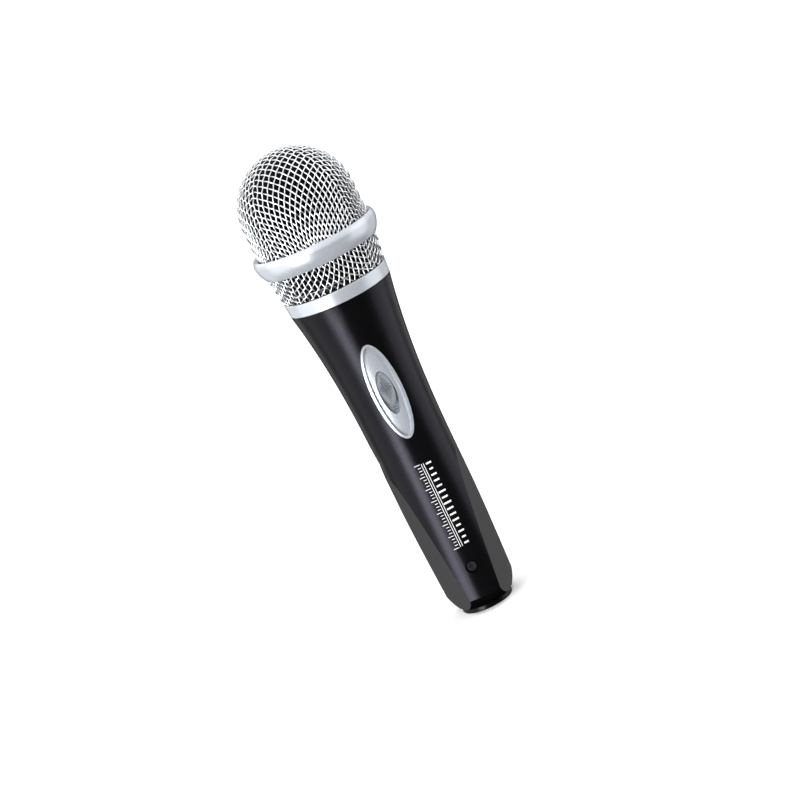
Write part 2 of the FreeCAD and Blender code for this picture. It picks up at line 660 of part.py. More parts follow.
def grille_band():
    """Wide rounded ring that holds the edges of both meshes in its grooves."""
    level = BAND_Z + BAND_LEVEL
    lower_groove = LOWER_MESH_TOP_R + SLIP_GAP
    upper_groove = DOME_R + SLIP_GAP
    foot_r = lower_groove + BAND_INNER_WALL / 3
    rim_r = BAND_R - RIM_IN
    rim_z = BAND_TOP - RIM_DROP
    inner_top = rim_z - RIM_BEVEL - BAND_INNER_WALL
    swell = BAND_R - foot_r
    return turned(
        (lower_groove, BAND_Z),
        ("line", foot_r, BAND_Z),
        ("arc", foot_r + swell * 0.68, BAND_Z + BAND_LEVEL * 0.45, BAND_R, level),
        ("arc", BAND_R - RIM_IN * 0.3, (level + rim_z) / 2, rim_r, rim_z),
        ("line", upper_groove, rim_z - RIM_BEVEL),
        ("line", upper_groove, BAND_TOP - UPPER_BITE),
        ("line", upper_groove - MESH_DEPTH - 2 * SLIP_GAP, BAND_TOP - UPPER_BITE),
        ("line", upper_groove - MESH_DEPTH - 2 * SLIP_GAP, inner_top),
        ("line", BAND_BORE, inner_top),
        ("line", BAND_BORE, BAND_Z + BAND_INNER_WALL),
        ("line", lower_groove - MESH_DEPTH - 2 * SLIP_GAP, BAND_Z + BAND_INNER_WALL),
        ("line", lower_groove - MESH_DEPTH - 2 * SLIP_GAP, BAND_Z + MESH_BITE),
        ("line", lower_groove, BAND_Z + MESH_BITE),
    )


def upper_mesh():
    """Woven-wire dome, as a skin with the wire's outer shape and weight."""
    inner = DOME_R - MESH_SKIN
    low = BAND_TOP - UPPER_BITE + SLIP_GAP
    slant = math.sqrt(0.5)
    return turned(
        (inner, low),
        ("line", DOME_R, low),
        ("line", DOME_R, DOME_Z),
        ("arc", DOME_R * slant, DOME_Z + DOME_R * slant, 0, DOME_Z + DOME_R),
        ("line", 0, DOME_Z + inner),
        ("arc", inner * slant, DOME_Z + inner * slant, inner, DOME_Z),
    )


def foam_liner():
    """Open-cell foam sock that lines both meshes."""
    low = COLLAR_TOP + COLLAR_SPIGOT + UNDER_GAP
    foot = lower_mesh_radius(low) - MESH_DEPTH - FOAM_GAP
    waist = BAND_BORE - FOAM_GAP
    outer = DOME_R - MESH_DEPTH - FOAM_GAP
    inner = outer - FOAM_THICK
    thin = FOAM_THICK
    slant = math.sqrt(0.5)
    return turned(
        (foot, low),
        ("line", waist, BAND_Z),
        ("line", waist, BAND_TOP),
        ("line", outer, BAND_TOP + outer - waist),
        ("line", outer, DOME_Z),
        ("arc", outer * slant, DOME_Z + outer * slant, 0, DOME_Z + outer),
        ("line", 0, DOME_Z + inner),
        ("arc", inner * slant, DOME_Z + inner * slant, inner, DOME_Z),
        ("line", inner, BAND_TOP + outer - waist),
        ("line", waist - thin, BAND_TOP),
        ("line", waist - thin, BAND_Z),
        ("line", foot - thin, low),
    )


# Capsule

def shock_mount():
    """Rubber ring seated in the neck, with a sleeve that grips the rear chamber."""
    flange_r = MOUNT_R - SLIP_GAP
    inner = CHAMBER_R + PRESS_GAP
    sleeve_r = inner + MOUNT_SLEEVE
    low = BOSS_TOP - MOUNT_FLANGE + PRESS_GAP
    return turned(
        (inner, low - MOUNT_SKIRT),
        ("line", sleeve_r, low - MOUNT_SKIRT),
        ("line", sleeve_r, low),
        ("line", flange_r, low),
        ("line", flange_r, BOSS_TOP),
        ("line", sleeve_r, BOSS_TOP),
        ("line", sleeve_r, NECK_Z + MOUNT_TOP_ABOVE_NECK),
        ("line", inner, NECK_Z + MOUNT_TOP_ABOVE_NECK),
    )


def rear_chamber():
    """Closed cup of air behind the capsule."""
    inner = CHAMBER_R - CHAMBER_WALL
    top = CAPSULE_Z - FELT_THICK
    cup = ring(0, CHAMBER_R, CHAMBER_Z, top)
    cup = cup.cut(ring(0, inner, CHAMBER_Z + CHAMBER_WALL, top))
    for x in (-TAG_OFFSET, TAG_OFFSET):
        cup = cup.cut(Part.makeCylinder(TAG_R + PRESS_GAP, CHAMBER_WALL, V(x, 0, CHAMBER_Z)))
    return cup


def felt_ring():
    """Damping felt under the housing's vents."""
    inner = min(YOKE_R, CHAMBER_R) - CHAMBER_WALL
    return ring(inner, CAPSULE_R - CHAMBER_WALL, CAPSULE_Z - FELT_THICK, CAPSULE_Z)


def capsule_housing():
    """Moulded basket that holds the magnet system, vented at the back."""
    ledge = COIL_OUTER_R + 2 * UNDER_GAP
    well = CAPSULE_R - CLAMP_WIDTH
    shelf = YOKE_TOP + PRESS_GAP + HOUSING_FLOOR / 2
    housing = turned(
        (YOKE_R - CHAMBER_WALL, CAPSULE_Z),
        ("line", CAPSULE_R, CAPSULE_Z),
        ("line", CAPSULE_R, HOUSING_TOP),
        ("line", well, HOUSING_TOP),
        ("line", well, shelf),
        ("line", ledge, shelf),
        ("line", ledge, YOKE_TOP + PRESS_GAP),
        ("line", YOKE_R + PRESS_GAP, YOKE_TOP + PRESS_GAP),
        ("line", YOKE_R + PRESS_GAP, YOKE_Z),
        ("line", YOKE_R - CHAMBER_WALL, YOKE_Z),
    )
    vent_circle = (YOKE_R + well) / 2
    for n in range(VENTS):
        angle = 2 * math.pi * n / VENTS
        place = V(vent_circle * math.cos(angle), vent_circle * math.sin(angle), CAPSULE_Z)
        housing = housing.cut(Part.makeCylinder(VENT_R, HOUSING_HEIGHT, place))
    return housing


def magnet_yoke():
    """Steel cup that leads the field round to the outside of the coil gap."""
    bore = YOKE_R - YOKE_WALL
    lip = COIL_OUTER_R + COIL_GAP
    lip_z = YOKE_TOP - POLE_HEIGHT
    return turned(
        (0, YOKE_Z),
        ("line", YOKE_R, YOKE_Z),
        ("line", YOKE_R, YOKE_TOP),
        ("line", min(lip, bore), YOKE_TOP),
        ("line", min(lip, bore), lip_z),
        ("line", bore, lip_z - UNDER_GAP),
        ("line", bore, YOKE_Z + YOKE_FLOOR),
        ("line", 0, YOKE_Z + YOKE_FLOOR),
    )


def magnet():
    return ring(0, MAGNET_R, YOKE_Z + YOKE_FLOOR, POLE_Z)


def pole_piece():
    return ring(0, POLE_R, POLE_Z, POLE_Z + POLE_HEIGHT)


def film_z():
    """Height of the diaphragm's flat edge."""
    return HOUSING_TOP - FILM


def voice_coil():
    return ring(COIL_R, COIL_OUTER_R, film_z() - COIL_HEIGHT, film_z())


def diaphragm_dome():
    """Thin domed centre of the diaphragm, glued on the coil."""
    foot = COIL_R
    z = film_z()
    sphere = (foot ** 2 + DOME_HEIGHT ** 2) / (2 * DOME_HEIGHT)
    half = math.asin(foot / sphere) / 2
    mid = sphere * math.sin(half)
    lift = DOME_HEIGHT - sphere * (1 - math.cos(half))
    return turned(
        (0, z + DOME_HEIGHT),
        ("arc", mid, z + lift, foot, z),
        ("line", COIL_OUTER_R, z),
        ("line", COIL_OUTER_R, z + FILM),
        ("line", foot, z + FILM),
        ("arc", mid, z + lift + FILM, 0, z + DOME_HEIGHT + FILM),
    )


def diaphragm_surround():
    """Rolled ring of film from the dome to the clamped edge."""
    inner = COIL_OUTER_R + SLIP_GAP
    outer = CAPSULE_R - SLIP_GAP
    clamp = CAPSULE_R - CLAMP_WIDTH
    z = film_z() + FILM
    mid = (inner + clamp) / 2
    arch = SURROUND_ARCH
    return turned(
        (inner, z),
        ("arc", mid, z + arch, clamp, z),
        ("line", outer, z),
        ("line", outer, z + FILM),
        ("line", clamp, z + FILM),
        ("arc", mid, z + arch + FILM, inner, z + FILM),
    )


def clamp_ring():
    return ring(CAPSULE_R - CLAMP_WIDTH, CAPSULE_R, HOUSING_TOP + FILM, CAP_Z)


def resonator_cap():
    """Perforated front cap that tunes the treble."""
    top = CAP_Z + CAP_HEIGHT
    plate = top - CAP_PLATE
    cap = ring(0, CAPSULE_R, CAP_Z, top).cut(ring(0, CAPSULE_R - CLAMP_WIDTH, CAP_Z, plate))
    for circle in range(4):
        radius = circle * CAP_RING_STEP
        count = max(1, 6 * circle)
        if radius + CAP_HOLE_R > CAPSULE_R - CLAMP_WIDTH:
            break
        for n in range(count):
            angle = 2 * math.pi * n / count
            place = V(radius * math.cos(angle), radius * math.sin(angle), plate)
            cap = cap.cut(Part.makeCylinder(CAP_HOLE_R, CAP_PLATE, place))
    return cap


def dust_screen():
    """Cloth disc glued on the cap."""
    top = CAP_Z + CAP_HEIGHT
    return ring(0, CAPSULE_R - CLAMP_WIDTH, top, top + SCREEN_THICK)


def terminal_board():
    board = ring(0, BOARD_R, BOARD_Z, CHAMBER_Z)
    for x in (-TAG_OFFSET, TAG_OFFSET):
        board = board.cut(Part.makeCylinder(TAG_R + PRESS_GAP, BOARD_THICK, V(x, 0, BOARD_Z)))
    return board


def solder_tags():
    """Two round tags through the board, as one group."""
    top = CHAMBER_Z + CHAMBER_WALL
    tags = []
    for x in (-TAG_OFFSET, TAG_OFFSET):
        tags.append(Part.makeCylinder(TAG_R, top - TAG_END_Z, V(x, 0, TAG_END_Z)))
    return Part.makeCompound(tags)


# Leads

def lead(points):
    """Round wire along straight runs joined by the largest arcs that the runs allow."""
    edges = []
    here = points[0]
    for before, corner, after in zip(points, points[1:], points[2:]):
        back = (before - corner).normalize()
        on = (after - corner).normalize()
        half_turn = (math.pi - back.getAngle(on)) / 2
        short = min(before.distanceToPoint(corner), corner.distanceToPoint(after))
        trim = 0.45 * short
        radius = trim / math.tan(half_turn)
        start = corner + back * trim
        end = corner + on * trim
        inward = (back + on).normalize()
        middle = corner + inward * (radius / math.cos(half_turn) - radius)
        edges.append(Part.makeLine(here, start))
        edges.append(Part.Arc(start, middle, end).toShape())
        here = end
    edges.append(Part.makeLine(here, points[-1]))
    path = Part.Wire(edges)
    first = (points[1] - points[0]).normalize()
    section = Part.Wire([Part.makeCircle(LEAD_R, points[0], first)])
    return path.makePipeShell([section], True, False)


def lead_capsule_to_switch():
    """From the left tag to the upper switch terminal."""
    z = terminal_heights()[2]
    return lead([
        V(-TAG_OFFSET, 0, TAG_END_Z),
        V(-TAG_OFFSET, 0, TAG_END_Z - 4),
        V(-TAG_OFFSET / 2, LEAD_BACK_Y, z + 6),
        V(0, LEAD_BACK_Y, z),
        V(0, TERMINAL_END_Y, z),
    ])


def lead_switch_to_pin():
    """From the lower switch terminal to the second contact's cup."""
    z = terminal_heights()[0]
    pin = PIN_PLACES["contact_pin_2"]
    return lead([
        V(0, TERMINAL_END_Y, z),
        V(0, LEAD_BACK_Y, z),
        V(pin.x / 2, LEAD_BACK_Y, z - 10),
        V(pin.x, LEAD_BACK_Y / 2, CUP_TOP + 16),
        V(pin.x, 0, CUP_TOP + 8),
        V(pin.x, 0, CUP_TOP - CUP_HEIGHT / 2),
    ])


def lead_capsule_to_pin():
    """From the right tag down the back of the grip to the third contact's cup."""
    pin = PIN_PLACES["contact_pin_3"]
    side = TAG_OFFSET
    return lead([
        V(side, 0, TAG_END_Z),
        V(side, 0, TAG_END_Z - 4),
        V(side * 1.5, LEAD_BACK_Y * 1.4, TAG_END_Z - 14),
        V(side * 1.4, LEAD_BACK_Y * 1.8, WINDOW_Z - 20),
        V(0, PIN_CIRCLE_R, CUP_TOP + 9),
        V(0, PIN_CIRCLE_R, CUP_TOP - CUP_HEIGHT / 2),
    ])


PARTS = {
    "handle": handle,
    "retaining_screw": retaining_screw,
    "connector_insert": connector_insert,
    "ground_tab": ground_tab,
    "switch_plate": switch_plate,
    "switch_slider": switch_slider,
    "switch_actuator": switch_actuator,
    "switch_wiper": switch_wiper,
    "switch_bracket": switch_bracket,
    "bracket_screws": bracket_screws,
    "switch_can": switch_can,
    "switch_base": switch_base,
    "switch_terminals": switch_terminals,
    "neck_gasket": neck_gasket,
    "grille_collar": grille_collar,
    "lower_mesh": lower_mesh,
    "grille_band": grille_band,
    "upper_mesh": upper_mesh,
    "foam_liner": foam_liner,
    "shock_mount": shock_mount,
    "rear_chamber": rear_chamber,
    "felt_ring": felt_ring,
    "capsule_housing": capsule_housing,
    "magnet_yoke": magnet_yoke,
    "magnet": magnet,
    "pole_piece": pole_piece,
    "voice_coil": voice_coil,
    "diaphragm_dome": diaphragm_dome,
    "diaphragm_surround": diaphragm_surround,
    "clamp_ring": clamp_ring,
    "resonator_cap": resonator_cap,
    "dust_screen": dust_screen,
    "terminal_board": terminal_board,
    "solder_tags": solder_tags,
    "lead_capsule_to_switch": lead_capsule_to_switch,
    "lead_switch_to_pin": lead_switch_to_pin,
    "lead_capsule_to_pin": lead_capsule_to_pin,
}


def build():
    os.makedirs("parts", exist_ok=True)
    shapes = {name: make() for name, make in PARTS.items()}
    for name, place in PIN_PLACES.items():
        shapes[name] = contact_pin(place)
    for name, shape in shapes.items():
        shape.exportStep(f"parts/{name}.step")
        print(f"{name}: {shape.Volume:.1f} mm3, valid {shape.isValid()}, solids {len(shape.Solids)}")


build()
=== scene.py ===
"""Looks of a handheld vocal microphone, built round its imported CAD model.

Woven grille wire, foam lining, switch plate, printed marks, the finish of every part, and the studio.
Every piece is in metres, in the frame of the CAD model, and rides on one of its bodies.
"""
import math

import bmesh
import bpy
from mathutils import Matrix, Vector, noise


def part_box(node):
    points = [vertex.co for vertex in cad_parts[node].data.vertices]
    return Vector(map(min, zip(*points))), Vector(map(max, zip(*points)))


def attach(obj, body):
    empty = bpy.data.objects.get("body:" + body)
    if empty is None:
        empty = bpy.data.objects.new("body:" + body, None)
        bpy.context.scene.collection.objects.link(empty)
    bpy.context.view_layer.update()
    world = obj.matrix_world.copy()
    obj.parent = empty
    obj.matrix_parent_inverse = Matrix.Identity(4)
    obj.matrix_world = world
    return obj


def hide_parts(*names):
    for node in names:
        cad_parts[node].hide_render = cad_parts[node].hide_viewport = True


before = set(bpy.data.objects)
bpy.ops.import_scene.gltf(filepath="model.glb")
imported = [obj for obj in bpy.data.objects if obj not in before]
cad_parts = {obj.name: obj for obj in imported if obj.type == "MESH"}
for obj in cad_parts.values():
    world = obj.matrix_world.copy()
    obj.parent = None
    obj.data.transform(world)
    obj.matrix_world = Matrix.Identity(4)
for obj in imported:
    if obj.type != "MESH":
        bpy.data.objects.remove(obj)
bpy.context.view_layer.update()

bl_info = {
    "name": "Vocal Microphone",
    "version": (1, 0, 0),
    "blender": (4, 5, 0),
    "location": "3D View > Sidebar > Microphone",
    "description": "Builds the grille, foam, switch, marks and finishes of a handheld vocal microphone",
    "category": "Add Mesh",
}

MM = 0.001
TURN = 2 * math.pi
UP = Vector((0, 0, 1))


# Places read from the CAD model

def top_of(node):
    """Highest point of a CAD node, in metres."""
    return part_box(node)[1].z


def foot_of(node):
    """Lowest point of a CAD node, in metres."""
    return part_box(node)[0].z


def radius_of(node):
    """Largest distance of a round CAD node from the axis, in metres."""
    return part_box(node)[1].x


SETTLE_ROUNDS = 150
FAIRNESS = 0.3  # share of the way that a crossing moves to the middle of its neighbours in a round
WIRE_STEPS = 4  # straight stretches of a wire from one crossing to the next
GRIP_RADIUS = 15.0 * MM
COLLAR_STEP = 1.4 * MM  # from the collar's outside in to its spigot
MARKS_TOP, MARKS_FOOT = 63.5 * MM, 28.0 * MM


# Meshes

def new_piece(name, body, mesh):
    """Puts a mesh or curve in the scene as a piece on a body."""
    piece = bpy.data.objects.new(name, mesh)
    bpy.context.scene.collection.objects.link(piece)
    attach(piece, body)
    return piece


def mesh_from(name, shape, smooth=True):
    """Turns a bmesh into mesh data."""
    bmesh.ops.recalc_face_normals(shape, faces=shape.faces)
    mesh = bpy.data.meshes.new(name)
    shape.to_mesh(mesh)
    shape.free()
    mesh.polygons.foreach_set("use_smooth", [smooth] * len(mesh.polygons))
    return mesh


def paint(piece, material):
    """Gives an object a single material."""
    piece.data.materials.clear()
    piece.data.materials.append(material)


# Woven wire

def cup_distance(point, wall, widening, rounding):
    """Distance outside a round cup with its crown up, whose wall has its radius at height 0."""
    slant = math.hypot(1, widening)
    reach = math.hypot(point.x, point.y) - (wall - widening * point.z)
    side = reach / slant + rounding
    over = point.z
    outside = math.hypot(max(side, 0), max(over, 0))
    return outside + min(max(side, over), 0) - rounding


def land(middle, forward, outward, reach, cup):
    """The point of the cup at a distance from middle, found by turning from forward to outward."""
    low, high = -1.2, 1.2
    for _ in range(40):
        turn = (low + high) / 2
        point = middle + reach * (math.cos(turn) * forward + math.sin(turn) * outward)
        if cup_distance(point, *cup) > 0:
            high = turn
        else:
            low = turn
    return point


def weave_quarter(pitch, cup, foot):
    """Crossings of a sheet of square woven wire drawn down over one quarter of a cup.

    Wires keep their length between crossings and turn at them, so the squares lean into diamonds.
    """
    crown = Vector((0, 0, cup[2]))
    crossings = {(0, 0): crown}
    for first, second in ((1, 0), (0, 1)):
        forward = Vector((first, second, 0))
        across = UP.cross(forward)
        here = crown
        count = 0
        while here.z > foot:
            count += 1
            there = land(here, forward, forward.cross(across), pitch, cup)
            forward = (there - here).normalized()
            here = there
            crossings[first * count, second * count] = here
    for ring in range(2, 2 * count):
        for i in range(1, ring):
            j = ring - i
            a = crossings.get((i - 1, j))
            b = crossings.get((i, j - 1))
            back = crossings.get((i - 1, j - 1))
            if not (a and b and back) or max(a.z, b.z) <= foot:
                continue
            middle = (a + b) / 2
            half = math.sqrt(pitch ** 2 - (a - b).length_squared / 4)
            forward = (middle - back).normalized()
            outward = (a - b).cross(forward).normalized()
            if outward.dot(Vector((middle.x, middle.y, max(middle.z, 0)))) < 0:
                outward.negate()
            crossings[i, j] = land(middle, forward, outward, half, cup)
    return crossings


def cup_normal(point, cup):
    """Direction straight out of the cup at a point."""
    step = 0.01 * MM
    here = cup_distance(point, *cup)
    axes = (Vector((step, 0, 0)), Vector((0, step, 0)), Vector((0, 0, step)))
    return Vector([cup_distance(point + axis, *cup) - here for axis in axes]).normalized()


def settle(crossings, pitch, touching, cup, rounds):
    """Lets the sheet ease where its wires touch: crossings keep apart and the wires stretch a little.

    The two wires through the crown stay where they are, and each other crossing is drawn a share of the
    way to the middle of its neighbours. That leaves a fold along those two wires.
    """
    links = [((i, j), other, pitch, 0.25) for i, j in crossings for other in ((i + 1, j), (i, j + 1))]
    links += [((i + 1, j), (i, j + 1), touching, 0.5) for i, j in crossings]
    links = [link for link in links if link[0] in crossings and link[1] in crossings]
    free = [place for place in crossings if 0 not in place]
    for _ in range(rounds):
        moves = {place: Vector() for place in crossings}
        for first, second, length, firmness in links:
            apart = crossings[second] - crossings[first]
            short = length - apart.length
            if length is touching and short < 0:
                continue
            push = apart.normalized() * short * firmness / 2
            moves[first] -= push
            moves[second] += push
        for i, j in free:
            around = [crossings.get(near) for near in ((i - 1, j), (i + 1, j), (i, j - 1), (i, j + 1))]
            if all(around):
                moves[i, j] += FAIRNESS * (sum(around, Vector()) / 4 - crossings[i, j])
        for place in free:
            point = crossings[place] + moves[place]
            crossings[place] = point - cup_distance(point, *cup) * cup_normal(point, cup)


def lengths_within(points, low, high):
    """The stretches of a wire between two heights, cut clean at both."""
    stretches, stretch = [], []
    for here, there in zip(points, points[1:]):
        first, last = sorted((here.z, there.z))
        if last <= low or first >= high:
            continue
        cuts = sorted((level - here.z) / (there.z - here.z) for level in (low, high) if first < level < last)
        if here.z < low or here.z > high:
            stretch = [here.lerp(there, cuts.pop(0))]
        elif not stretch:
            stretch = [here]
        stretch.append(here.lerp(there, cuts[0]) if cuts else there)
        if cuts or not low <= there.z <= high:
            stretches.append(stretch)
            stretch = []
    if stretch:
        stretches.append(stretch)
    return [s for s in stretches if len(s) > 2]


def woven_wires(pitch, touching, rise, cup, foot, head):
    """Centre lines of the drawn sheet's wires from foot to head, passing over and under each other.

    The sheet is drawn past the foot, so that its loose edge doesn't shape the part that is kept.
    """
    quarter = weave_quarter(pitch, cup, foot - 3 * pitch)
    settle(quarter, pitch, touching, cup, SETTLE_ROUNDS)
    reach = max(i for i, j in quarter)
    wires = []
    for direction in (0, 1):
        for row in range(-reach, reach + 1):
            line = []
            for column in range(-reach, reach + 1):
                i, j = (column, row) if direction == 0 else (row, column)
                found = quarter.get((abs(i), abs(j)))
                if found:
                    place = Vector((math.copysign(found.x, i), math.copysign(found.y, j), found.z))
                    over = 1 if (i + j + direction) % 2 == 0 else -1
                    line.append((place, cup_normal(place, cup), over))
            if len(line) < 3:
                continue
            points = []
            for (here, out, over), (there, out_next, _) in zip(line, line[1:]):
                for step in range(WIRE_STEPS):
                    share = step / WIRE_STEPS
                    lift = rise * over * math.cos(math.pi * share)
                    points.append(here.lerp(there, share) + lift * out.lerp(out_next, share))
            points.append(line[-1][0] + rise * line[-1][2] * line[-1][1])
            wires += lengths_within(points, foot, head)
    return wires


def wire_mesh(name, wires, radius, place):
    """Mesh of round wires, one along each centre line."""
    curve = bpy.data.curves.new(name, "CURVE")
    curve.dimensions = "3D"
    curve.bevel_depth = radius
    curve.bevel_resolution = 2
    curve.use_fill_caps = True
    for points in wires:
        spline = curve.splines.new("POLY")
        spline.points.add(len(points) - 1)
        for slot, point in zip(spline.points, points):
            slot.co = (*(place @ point), 1)
    holder = bpy.data.objects.new(name, curve)
    mesh = bpy.data.meshes.new_from_object(holder)
    bpy.data.objects.remove(holder)
    bpy.data.curves.remove(curve)
    mesh.polygons.foreach_set("use_smooth", [True] * len(mesh.polygons))
    return mesh


# Materials

def linear(code):
    """An sRGB hex colour such as 8090A0, as linear red, green, blue and alpha."""
    parts = [int(code[i:i + 2], 16) / 255 for i in (0, 2, 4)]
    return [p / 12.92 if p <= 0.04045 else ((p + 0.055) / 1.055) ** 2.4 for p in parts] + [1]


def add_node(material, kind, sockets=None, **settings):
    """Adds a shader node. sockets maps input names to values or to the outputs that feed them."""
    tree = material.node_tree
    node = tree.nodes.new("ShaderNode" + kind)
    for name, value in settings.items():
        setattr(node, name, value)
    feed(material, node, sockets or {})
    return node


def feed(material, node, sockets):
    """Sets a node's inputs to values, or links them to outputs."""
    for name, value in sockets.items():
        if isinstance(value, bpy.types.NodeSocket):
            material.node_tree.links.new(value, node.inputs[name])
        else:
            node.inputs[name].default_value = value


def begin(name, **sockets):
    """A material with its shader, whose inputs are given with underscores for spaces."""
    material = bpy.data.materials.new(name)
    material.use_nodes = True
    shader = material.node_tree.nodes["Principled BSDF"]
    feed(material, shader, {key.replace("_", " "): value for key, value in sockets.items()})
    return material


def shade(material, **sockets):
    """Sets or links inputs of a material's shader."""
    shader = material.node_tree.nodes["Principled BSDF"]
    feed(material, shader, {key.replace("_", " "): value for key, value in sockets.items()})


def noise_of(material, width, detail=3.0):
    """Noise fixed to the object, with features of a width in millimetres."""
    place = add_node(material, "TexCoord")
    return add_node(material, "TexNoise", {
        "Vector": place.outputs["Object"], "Scale": 1 / (width * MM), "Detail": detail})


def roughen(material, width, depth, detail=3.0):
    """Raises fine grain, with its width and depth in millimetres."""
    pattern = noise_of(material, width, detail)
    bump = add_node(material, "Bump", {"Height": pattern.outputs["Fac"], "Distance": depth * MM})
    shade(material, Normal=bump.outputs["Normal"])


def mottle(material, dark, light, width):
    """Lets the colour drift over a width in millimetres between two tones, each a hex code or a setting."""
    pattern = noise_of(material, width)
    dark, light = [linear(tone) if isinstance(tone, str) else tone for tone in (dark, light)]
    blend = add_node(material, "Mix", {0: pattern.outputs["Fac"], 6: dark, 7: light}, data_type="RGBA")
    shade(material, Base_Color=blend.outputs[2])


def enamelled_casting(settings):
    """Zinc casting with baked black enamel: soft highlights, faint brown cast and fine orange peel."""
    material = begin("enamelled_casting", Roughness=0.32, IOR=1.45,
                     Specular_Tint=linear("DCDBEE"))
    mottle(material, settings.enamel_dark, settings.enamel_light, 6.0)
    roughen(material, settings.enamel_grain / MM, 0.012)
    return material


def pearl_enamel(settings):
    """Brass ring with pearl silver enamel: metal flake gives a broad satin sheen, clear on top."""
    material = begin("pearl_enamel", Metallic=0.4, Roughness=0.36, Coat_Weight=0.3, Coat_Roughness=0.18)
    mottle(material, settings.pearl_dark, settings.pearl_light, 0.35)
    roughen(material, 0.18, 0.004)
    return material


def plated_pad_and_gap_shade(settings):
    """Nickel-plated slider, with painted shade in black round the side of the thumb pad, for the dark gap in
    the plate's window.
    """
    material = begin("plated_pad_and_gap_shade")
    place = add_node(material, "TexCoord")
    depth = add_node(material, "SeparateXYZ", {"Vector": place.outputs["Object"]})
    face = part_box("switch_slider")[0].y
    # painted shade: a band on the side of the thumb pad, 0.6 to 1.3 mm behind its face, is coloured black for
    # the dark gap round the pad
    gap_shade_band = add_node(material, "Math", {0: depth.outputs["Y"], 1: face + 0.95 * MM, 2: 0.35 * MM},
                      operation="COMPARE")
    plated = add_node(material, "Math", {0: 1.0, 1: gap_shade_band.outputs["Value"]}, operation="SUBTRACT")
    pattern = noise_of(material, 1.2)
    plating = add_node(material, "Mix", {0: pattern.outputs["Fac"], 6: linear("A9AFB6"), 7: linear("BCC2C9")},
                       data_type="RGBA")
    # black 141415 is the painted shade in that band and the plating's two tones are used elsewhere; the band
    # is also made less metallic
    blend = add_node(material, "Mix", {
        0: plated.outputs["Value"], 6: linear("141415"), 7: plating.outputs[2]}, data_type="RGBA")
    metal = add_node(material, "Math", {0: plated.outputs["Value"], 1: 0.6}, operation="MULTIPLY")
    shade(material, Base_Color=blend.outputs[2], Metallic=metal.outputs["Value"], Roughness=0.3)
    roughen(material, 0.12, 0.003)
    return material


def dot_shade_and_ink(settings):
    """Dark grey on the raised dots, a painted shade of the dimples they stand for, and grey ink on the
    slider's mark: dull beside the plating.
    """
    material = begin("dot_shade_and_ink", Roughness=0.6)
    # the same two greys are painted shade on the dots and real ink on the slider's mark
    mottle(material, "55585D", "686B71", 0.4)
    return material


def nickel_wire(settings):
    """Nickel-plated spring steel wire, drawn and woven: bright with faint lines of the die."""
    material = begin("nickel_wire", Metallic=1.0, Roughness=0.3)
    mottle(material, settings.wire_dark, settings.wire_light, 0.9)
    roughen(material, 0.15, 0.004)
    return material


def open_cell_foam(settings):
    """Reticulated polyurethane foam, cut from a block: black open cells that swallow light."""
    material = begin("open_cell_foam", Roughness=0.95, Specular_IOR_Level=0.2, Sheen_Weight=0.15)
    place = add_node(material, "TexCoord")
    cells = add_node(material, "TexVoronoi", {
        "Vector": place.outputs["Object"], "Scale": 1 / settings.foam_cell})
    blend = add_node(material, "Mix", {
        0: cells.outputs["Distance"], 6: linear("1A1A1C"), 7: linear("050506")}, data_type="RGBA")
    bump = add_node(material, "Bump", {
        "Height": cells.outputs["Distance"], "Distance": 0.25 * MM}, invert=True)
    shade(material, Base_Color=blend.outputs[2], Normal=bump.outputs["Normal"])
    return material


def screen_ink(settings):
    """White pad-printed ink: flat, slightly chalky, with thin spots."""
    material = begin("screen_ink", Roughness=0.6)
    mottle(material, "C9C8CC", "E2E1E4", 0.5)
    return material


def phosphated_steel(settings):
    """Phosphated steel screw: mid grey, its tone drifting at random."""
    material = begin("phosphated_steel", Metallic=0.35, Roughness=0.38)
    mottle(material, "2A2A2E", "4C4C52", 0.8)
    roughen(material, 0.2, 0.005)
    return material


def moulded_nylon(settings):
    """Black glass-filled nylon, moulded: matt with fine spark-eroded texture."""
    material = begin("moulded_nylon", Roughness=0.55, IOR=1.53)
    mottle(material, "121214", "1B1B1D", 2.0)
    roughen(material, 0.15, 0.008)
    return material


def silver_plate(settings):
    """Silver-plated brass contact pins, turned: bright with fine tool rings."""
    material = begin("silver_plate", Metallic=1.0, Roughness=0.24)
    place = add_node(material, "TexCoord")
    rings = add_node(material, "TexWave", {
        "Vector": place.outputs["Object"], "Scale": 1 / (0.6 * MM), "Distortion": 0.4}, bands_direction="Z")
    bump = add_node(material, "Bump", {"Height": rings.outputs["Fac"], "Distance": 0.002 * MM})
    shade(material, Normal=bump.outputs["Normal"])
    mottle(material, "C9C6BE", "DAD8D2", 1.0)
    return material


def moulded_acetal(settings):
    """Black acetal of the switch stem: smooth, slightly waxy."""
    material = begin("moulded_acetal", Roughness=0.38, IOR=1.48)
    mottle(material, "151516", "202022", 1.5)
    roughen(material, 0.2, 0.004)
    return material


def tinned_sheet(settings):
    """Tin-plated steel sheet, rolled: pale grey with long faint streaks."""
    material = begin("tinned_sheet", Metallic=1.0, Roughness=0.36, Anisotropic=0.4)
    mottle(material, "A9A9A6", "C2C2BE", 0.7)
    roughen(material, 0.25, 0.005)
    return material


def bare_brass(settings):
    """Stamped brass terminals: warm yellow, lightly tarnished."""
    material = begin("bare_brass", Metallic=1.0, Roughness=0.32)
    mottle(material, "A98545", "C9A662", 0.8)
    roughen(material, 0.2, 0.004)
    return material


def paper_phenolic(settings):
    """Paper-filled phenolic sheet: brown and close-grained."""
    material = begin("paper_phenolic", Roughness=0.5, IOR=1.55)
    mottle(material, "6B4523", "85592F", 0.4)
    roughen(material, 0.2, 0.006)
    return material


